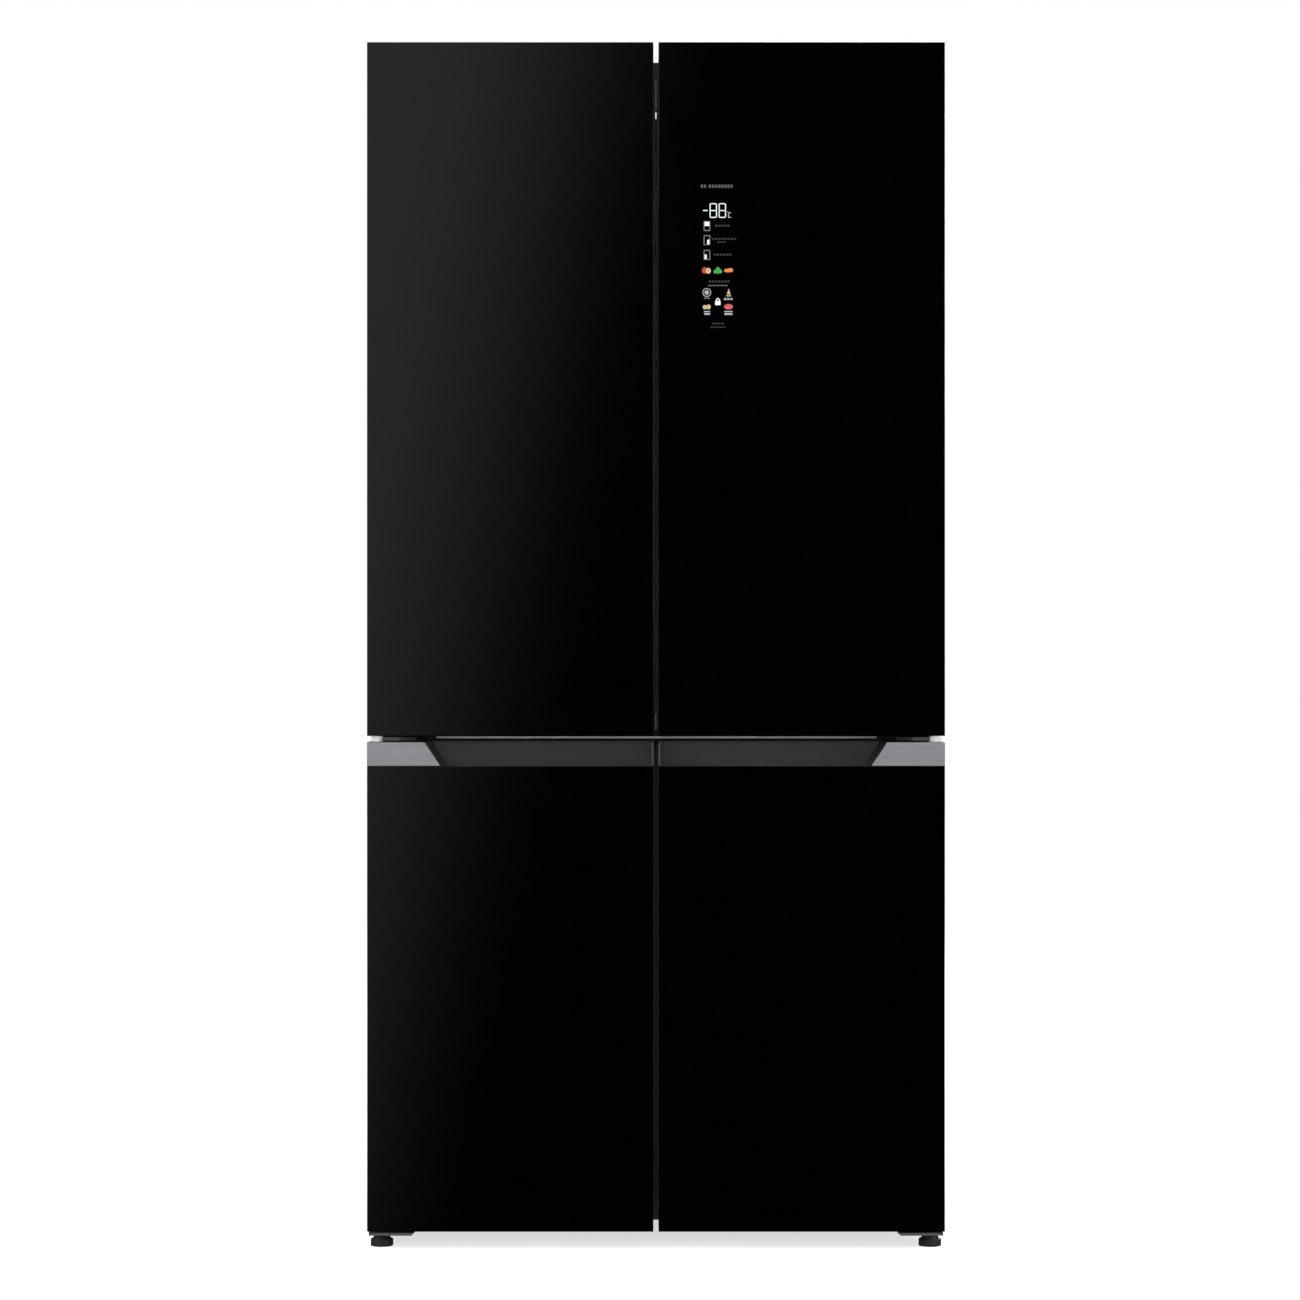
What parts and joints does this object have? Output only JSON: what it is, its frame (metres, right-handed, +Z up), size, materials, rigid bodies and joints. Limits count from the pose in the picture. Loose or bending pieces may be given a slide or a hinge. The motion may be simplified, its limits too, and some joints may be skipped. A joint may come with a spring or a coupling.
{
  "type": "four-door refrigerator",
  "caption": "Free-standing four-door refrigerator with black glass doors, recessed grips along the lower doors, shelves, bins and drawers.",
  "frame": {"origin": "on the floor under the middle of the closed refrigerator", "axes": "+Z up, -Y towards the person who opens the doors, +X to that person's right"},
  "size_m": [0.908, 0.7, 1.9],
  "materials": {
    "painted_shell": "satin graphite paint",
    "galvanised": "matte galvanised sheet",
    "foam": "matte foam",
    "white_abs": "smooth white",
    "beam_steel": "bright strip",
    "black_abs": "fine satin",
    "hinge_steel": "zinc plated",
    "dark_steel": "dark paint",
    "nylon": "matte",
    "duct_plastic": "matte",
    "fin_aluminium": "mill",
    "lamp": "opal",
    "shelf_glass": "clear",
    "clear_plastic": "clear tinted",
    "black_enamel": "gloss",
    "rubber": "matte",
    "gasket_rubber": "matte",
    "black_glass": "glossy, back painted",
    "door_foam": "white liner over foam",
    "cap_steel": "brushed"
  },
  "bodies": {
    "cabinet": {"outer_shell": "painted_shell", "back_panel": "galvanised", "insulation_foam": "foam", "fridge_liner": "white_abs", "freezer_liner": "white_abs", "convertible_liner": "white_abs", "cross_beam": "beam_steel", "partition_cover": "black_abs", "mullion_guide": "white_abs", "top_hinges": "hinge_steel", "mid_hinges": "dark_steel", "bottom_hinges": "dark_steel", "hinge_bushes": "nylon", "hinge_covers": "black_abs", "air_ducts": "duct_plastic", "evaporator": "fin_aluminium", "led_lamps": "lamp", "shelf_1": "shelf_glass", "shelf_2": "shelf_glass", "shelf_3": "shelf_glass", "crisper_cover": "shelf_glass", "base_tray": "galvanised", "machine_cover": "black_abs", "compressor": "black_enamel", "condenser": "dark_steel", "cord_gland": "rubber"},
    "door_upper_left": {"upper_left_glass": "black_glass", "upper_left_frame": "black_abs", "upper_left_liner": "door_foam", "upper_left_gasket": "gasket_rubber", "upper_left_bins": "clear_plastic"},
    "door_upper_right": {"upper_right_glass": "black_glass", "upper_right_frame": "black_abs", "upper_right_liner": "door_foam", "upper_right_gasket": "gasket_rubber", "upper_right_bins": "clear_plastic", "display_module": "black_abs"},
    "door_lower_left": {"lower_left_glass": "black_glass", "lower_left_frame": "black_abs", "lower_left_liner": "door_foam", "lower_left_gasket": "gasket_rubber", "lower_left_racks": "clear_plastic", "corner_cap_left": "cap_steel"},
    "door_lower_right": {"lower_right_glass": "black_glass", "lower_right_frame": "black_abs", "lower_right_liner": "door_foam", "lower_right_gasket": "gasket_rubber", "lower_right_racks": "clear_plastic", "corner_cap_right": "cap_steel"},
    "flip_mullion": {"flip_mullion": "black_abs"},
    "crisper_left": {"crisper_left": "clear_plastic"},
    "crisper_right": {"crisper_right": "clear_plastic"},
    "freezer_drawer_upper": {"freezer_drawer_upper": "clear_plastic"},
    "freezer_drawer_lower": {"freezer_drawer_lower": "clear_plastic"},
    "convertible_drawer_upper": {"convertible_drawer_upper": "clear_plastic"},
    "convertible_drawer_lower": {"convertible_drawer_lower": "clear_plastic"},
    "fan_rotor": {"fan_rotor": "black_abs"},
    "rear_rollers": {"rear_rollers": "rubber"},
    "foot_left": {"foot_left": "rubber"},
    "foot_right": {"foot_right": "rubber"}
  },
  "joints": [
    {"name": "upper_left_hinge", "type": "hinge", "parent": "cabinet", "child": "door_upper_left", "pos_m": [-0.44, -0.325, 1.355], "axis": [0, 0, -1], "range_deg": [0, 120]},
    {"name": "upper_right_hinge", "type": "hinge", "parent": "cabinet", "child": "door_upper_right", "pos_m": [0.44, -0.325, 1.355], "axis": [0, 0, 1], "range_deg": [0, 120]},
    {"name": "lower_left_hinge", "type": "hinge", "parent": "cabinet", "child": "door_lower_left", "pos_m": [-0.44, -0.325, 0.416], "axis": [0, 0, -1], "range_deg": [0, 120]},
    {"name": "lower_right_hinge", "type": "hinge", "parent": "cabinet", "child": "door_lower_right", "pos_m": [0.44, -0.325, 0.416], "axis": [0, 0, 1], "range_deg": [0, 120]},
    {"name": "mullion_flip", "type": "hinge", "parent": "door_upper_left", "child": "flip_mullion", "pos_m": [-0.0245, -0.2572, 1.327], "axis": [0, 0, 1], "range_deg": [-90, 0]},
    {"name": "crisper_left_slide", "type": "slide", "parent": "cabinet", "child": "crisper_left", "axis": [0, -1, 0], "range_m": [0, 0.235]},
    {"name": "crisper_right_slide", "type": "slide", "parent": "cabinet", "child": "crisper_right", "axis": [0, -1, 0], "range_m": [0, 0.235]},
    {"name": "freezer_upper_slide", "type": "slide", "parent": "cabinet", "child": "freezer_drawer_upper", "axis": [0, -1, 0], "range_m": [0, 0.245]},
    {"name": "convertible_upper_slide", "type": "slide", "parent": "cabinet", "child": "convertible_drawer_upper", "axis": [0, -1, 0], "range_m": [0, 0.245]},
    {"name": "freezer_lower_slide", "type": "slide", "parent": "cabinet", "child": "freezer_drawer_lower", "axis": [0, -1, 0], "range_m": [0, 0.245]},
    {"name": "convertible_lower_slide", "type": "slide", "parent": "cabinet", "child": "convertible_drawer_lower", "axis": [0, -1, 0], "range_m": [0, 0.245]},
    {"name": "fan_spin", "type": "hinge", "parent": "cabinet", "child": "fan_rotor", "pos_m": [-0.041, 0.252, 0.125], "axis": [1, 0, 0], "continuous": true},
    {"name": "roller_roll", "type": "hinge", "parent": "cabinet", "child": "rear_rollers", "pos_m": [0, 0.3, 0.017], "axis": [1, 0, 0], "continuous": true},
    {"name": "foot_left_turn", "type": "hinge", "parent": "cabinet", "child": "foot_left", "pos_m": [-0.435, -0.29, 0], "axis": [0, 0, 1], "continuous": true},
    {"name": "foot_right_turn", "type": "hinge", "parent": "cabinet", "child": "foot_right", "pos_m": [0.435, -0.29, 0], "axis": [0, 0, 1], "continuous": true}
  ],
  "couplings": [
    {"joint": "crisper_left_slide", "follows": "upper_left_hinge", "m_per_rad": 0.11},
    {"joint": "crisper_right_slide", "follows": "upper_right_hinge", "m_per_rad": 0.11},
    {"joint": "freezer_upper_slide", "follows": "lower_left_hinge", "m_per_rad": 0.115},
    {"joint": "convertible_upper_slide", "follows": "lower_right_hinge", "m_per_rad": 0.115},
    {"joint": "freezer_lower_slide", "follows": "lower_left_hinge", "m_per_rad": 0.115},
    {"joint": "convertible_lower_slide", "follows": "lower_right_hinge", "m_per_rad": 0.115}
  ]
}
